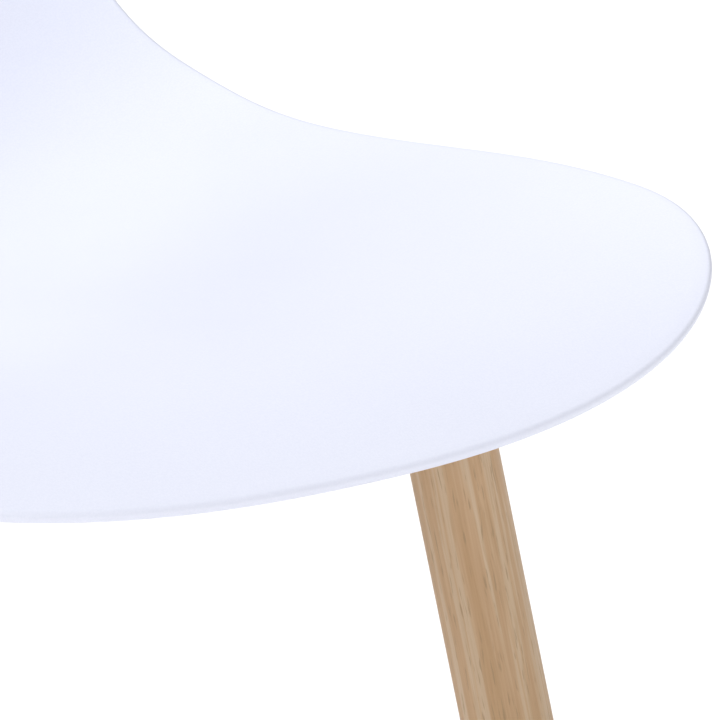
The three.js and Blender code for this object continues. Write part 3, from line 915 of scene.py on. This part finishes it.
def make_nut(name, matrix, top):
    """A hexagon nut whose corners are chamfered on both faces, with a countersunk bore."""
    turns = [2 * math.pi * k / 48 for k in range(48)]
    flat = NUT_CORNER * math.cos(math.pi / 6)
    bore, sink = BOLT_RADIUS + 0.1 * MM, 0.5 * MM
    bottom = top - NUT_HEIGHT

    def outer(z, limit):
        """A hexagon with its corners rounded down to a radius."""
        loop = []
        for t in turns:
            across = (t + math.pi / 6) % (math.pi / 3) - math.pi / 6
            radius = min(flat / math.cos(across - math.copysign(math.pi / 6, across)), limit)
            loop.append(Vector((radius * math.cos(t), radius * math.sin(t), z)))
        return loop

    def inner(z, radius):
        """A circle."""
        return [Vector((radius * math.cos(t), radius * math.sin(t), z)) for t in turns]

    # Millimetres in from a face, and how far out the corners reach there.
    chamfer = [(0.0, 0.97 * flat), (0.15, flat), (0.35, 1.055 * flat), (0.6, 1.11 * flat)]
    chamfer.append((0.9, NUT_CORNER))
    loops = [outer(bottom + rise * MM, limit) for rise, limit in chamfer]
    loops += [outer(top - rise * MM, limit) for rise, limit in reversed(chamfer)]
    loops += [inner(top, bore + sink), inner(top - sink, bore)]
    loops += [inner(bottom + sink, bore), inner(bottom, bore + sink)]
    points, faces = loft(loops + [loops[0]], closed_ends=False)
    make_piece(f"{name}_hexagon", points, faces, "zinc_steel", [name], sharp=22, matrix=matrix)


def ring_profile(radius, bore, low, high, edge):
    """The section of a ring with a chamfered bore and rounded outer edges."""
    soft = 0.3 * edge
    return [
        (bore, low + edge), (bore + edge, low),
        (radius - edge, low), (radius - soft, low + soft), (radius, low + edge),
        (radius, high - edge), (radius - soft, high - soft), (radius - edge, high),
        (bore + edge, high), (bore, high - edge),
    ]


def make_tab(name, matrix, tab_side):
    """A plate across the top of a tube, round-cornered where it reaches out to its screw."""
    half_width, corner = 14 * MM, 8 * MM
    near, far = -MOUNT_ASIDE - 12 * MM, 12 * MM  # its ends, measured from the screw
    outline = [(-half_width, near), (half_width, near)]
    outline += arc((half_width - corner, far - corner), corner, 0, 90, 10)
    outline += arc((corner - half_width, far - corner), corner, 90, 180, 10)
    plate = extruded(outline, tab_low, tab_high, bevel=0.4 * MM)
    matrix = matrix @ Matrix.Rotation(math.pi if tab_side < 0 else 0, 4, "Z")
    make_piece(f"{name}_plate", *plate, "frame_steel", [name], matrix=matrix)
    # Short runs of weld along the tab's two sides, on top of the tube.
    beside, length = half_width + 0.6 * MM, 20 * MM
    end_y, weld_z = TUBE_WIDTH / 2 - MOUNT_ASIDE - MM, tab_low - 0.2 * MM
    for end, x in (("inner", -beside), ("outer", beside)):
        path = [(x, end_y - length, weld_z), (x, end_y, weld_z)]
        weld_bead(f"{name}_weld_{end}", path, matrix, closed=False, radius=1.5 * MM)


# -------------------------------------------------------------------------- assembly

make_shell()
make_tube("frame_tube_through", DIAGONAL, lambda y, z: -bracket_end(y, z), bracket_end)
for seed, (corner, angle, tab_side) in enumerate(CORNERS):
    make_leg(f"leg_{corner}_turned", angle, seed)
    make_glide(f"glide_{corner}", angle)
    make_bracket(f"leg_bracket_{corner}", angle)
    place = corner_frame(angle)
    bead = [(bracket_end(y, z, gap=-0.2 * MM), y, z) for y, z in TUBE_SECTION]
    weld_bead(f"frame_weld_{corner}", bead, place)
    if corner in ("front_right", "rear_left"):
        make_tube(f"frame_tube_{corner}", angle, crossing_end, bracket_end)
        bead = [(crossing_end(y, z, gap=0.6 * MM), y, z) for y, z in TUBE_SECTION]
        weld_bead(f"frame_weld_crossing_{corner}", bead, place)
    for level, height in LEG_BOLT_HEIGHTS.items():
        place = bolt_frame(angle, height, -tab_side)
        make_screw(f"leg_bolt_{level}_{corner}", place, BOLT, BOLT_SEAT, BOLT_END)
        make_nut(f"leg_nut_{level}_{corner}", place, -BOLT_SEAT)
    place = mount_frame(angle, tab_side)
    make_tab(f"seat_tab_{corner}", place, tab_side)
    turned_over = place @ Matrix.Rotation(math.pi, 4, "X")
    make_screw(f"seat_screw_{corner}", turned_over, SCREW, GAP - washer_low, -screw_high)
    profile = ring_profile(
        WASHER_RADIUS, SCREW_RADIUS + GAP, washer_low, washer_high, edge=0.15 * MM
    )
    make_piece(
        f"seat_washer_{corner}_disc", *turned(profile, 48),
        "zinc_steel", [f"seat_washer_{corner}"], matrix=place,
    )
    profile = ring_profile(
        SPACER_RADIUS, SCREW_RADIUS + 2 * GAP, spacer_low, spacer_high, edge=0.5 * MM
    )
    make_piece(
        f"seat_spacer_{corner}_pad", *turned(profile, 64),
        "rubber", [f"seat_spacer_{corner}"], matrix=place,
    )
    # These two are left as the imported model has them, with a material of this script.
    for node, slot in ((f"seat_insert_{corner}", "brass"), (f"glide_nail_{corner}", "zinc_steel")):
        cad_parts[node].material_slots[0].material = MATERIALS[slot]

# ------------------------------------------------------------- stage, light, camera


def make_floor():
    """A white floor that reaches well beyond every view, just under the chair's feet."""
    reach = 60
    corners = [(-reach, -reach, 0), (reach, -reach, 0), (reach, reach, 0), (-reach, reach, 0)]
    mesh = bpy.data.meshes.new("floor")
    mesh.from_pydata(corners, [], [(0, 1, 2, 3)])
    floor = bpy.data.objects.new("floor", mesh)
    floor.location.z = -0.1 * MM
    bpy.context.scene.collection.objects.link(floor)
    s = Surface("floor_paint", Roughness=0.9, Specular_IOR_Level=0.1)
    base = s.ramp(s.noise(3), (0.3, 0.955), (0.7, 0.965))
    floor.data.materials.append(s.wire(Base_Color=base))


def direction(azimuth, elevation):
    """Out to that azimuth (0 is in front of the chair, 90 to its +X side), in degrees."""
    a, e = math.radians(azimuth), math.radians(elevation)
    return Vector((math.sin(a) * math.cos(e), -math.cos(a) * math.cos(e), math.sin(e)))


def make_sun(name, azimuth, elevation, strength, softness):
    """A sun that shines from that direction, its disc as many degrees wide as its softness."""
    light = bpy.data.lights.new(name, "SUN")
    light.energy = strength
    light.angle = math.radians(softness)
    sun = bpy.data.objects.new(name, light)
    sun.rotation_mode = "QUATERNION"
    sun.rotation_quaternion = direction(azimuth, elevation).to_track_quat("Z", "Y")
    bpy.context.scene.collection.objects.link(sun)


def make_world(strength):
    """Even white light from all round."""
    world = bpy.data.worlds.new("studio")
    bpy.context.scene.world = world
    world.use_nodes = True
    background = world.node_tree.nodes["Background"]
    background.inputs["Color"].default_value = (1, 1, 1, 1)
    background.inputs["Strength"].default_value = strength


def make_camera():
    """Looks at the seat's front right corner from the front left, a little above."""
    distance, view_width = 2.4, 250 * MM
    in_from_side, in_from_front, height = 112 * MM, 136.2 * MM, 397.7 * MM
    seat_low, seat_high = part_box("seat_shell")
    aim = Vector((seat_high.x - in_from_side, seat_low.y + in_from_front, height))
    back = direction(azimuth=-40, elevation=14)
    data = bpy.data.cameras.new("camera")
    data.sensor_width = 36
    data.lens = data.sensor_width * distance / view_width
    data.clip_start, data.clip_end = 0.05, 200
    camera = bpy.data.objects.new("camera", data)
    camera.location = aim + back * distance
    camera.rotation_mode = "QUATERNION"
    camera.rotation_quaternion = (-back).to_track_quat("-Z", "Y")
    bpy.context.scene.collection.objects.link(camera)
    bpy.context.scene.camera = camera


make_floor()
make_world(0.43)
make_sun("key", azimuth=-95, elevation=50, strength=2.57, softness=45)
make_sun("side", azimuth=-135, elevation=25, strength=0.86, softness=45)
make_sun("front", azimuth=0, elevation=12, strength=0.50, softness=45)
make_camera()
bpy.context.scene.view_settings.view_transform = "Standard"
